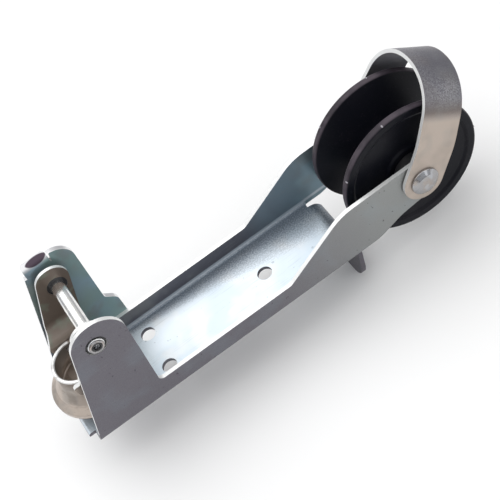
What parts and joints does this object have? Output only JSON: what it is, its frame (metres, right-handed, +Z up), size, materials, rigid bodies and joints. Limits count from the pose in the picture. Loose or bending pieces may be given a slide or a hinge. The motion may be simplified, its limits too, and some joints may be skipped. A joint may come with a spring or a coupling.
{
  "type": "bow roller",
  "caption": "Stainless bow roller: folded channel with a black grooved roller under a swinging bail, and a hinged rope keeper with a rubber foot.",
  "frame": {"origin": "underside of the base, midway between the two after bolt holes", "axes": "+X forward over the bow, +Y to port, +Z up"},
  "size_m": [0.2812, 0.0708, 0.1201],
  "materials": {
    "satin_steel": "satin",
    "polished_steel": "polished",
    "keeper_steel": "satin",
    "roller_plastic": "matte",
    "nylon": "satin",
    "sole_rubber": "matte"
  },
  "bodies": {
    "base": {"channel": "satin_steel", "side_plate": "satin_steel", "side_plate_rivets": "polished_steel", "pivot_rod": "polished_steel", "ear_bush": "nylon", "rod_spacer": "nylon", "roller_sleeve": "polished_steel", "roller_spacer_port": "nylon", "roller_spacer_starboard": "nylon", "axle_bolt": "polished_steel", "axle_nut": "polished_steel", "bail_washer_port": "nylon", "bail_washer_starboard": "nylon"},
    "keeper": {"keeper_cheek_port": "keeper_steel", "keeper_cheek_starboard": "keeper_steel", "keeper_bush_port": "nylon", "keeper_bush_starboard": "nylon", "cheek_rivets": "polished_steel"},
    "foot": {"foot_bell": "keeper_steel", "foot_sole": "sole_rubber", "foot_rivet": "polished_steel"},
    "roller": {"roller": "roller_plastic"},
    "bail": {"bail": "satin_steel"}
  },
  "joints": [
    {"name": "roller_spin", "type": "hinge", "parent": "base", "child": "roller", "pos_m": [0.1713, 0, 0.0251], "axis": [0, 1, 0], "continuous": true},
    {"name": "bail_swing", "type": "hinge", "parent": "base", "child": "bail", "pos_m": [0.1713, 0, 0.0251], "axis": [0, 1, 0], "range_deg": [-65, 70]},
    {"name": "keeper_swing", "type": "hinge", "parent": "base", "child": "keeper", "pos_m": [-0.0234, 0, 0.0696], "axis": [0, 1, 0], "range_deg": [-12, 75]},
    {"name": "foot_tilt", "type": "hinge", "parent": "keeper", "child": "foot", "pos_m": [-0.0389, 0, 0.033], "axis": [0, 1, 0], "range_deg": [-6, 6]}
  ]
}
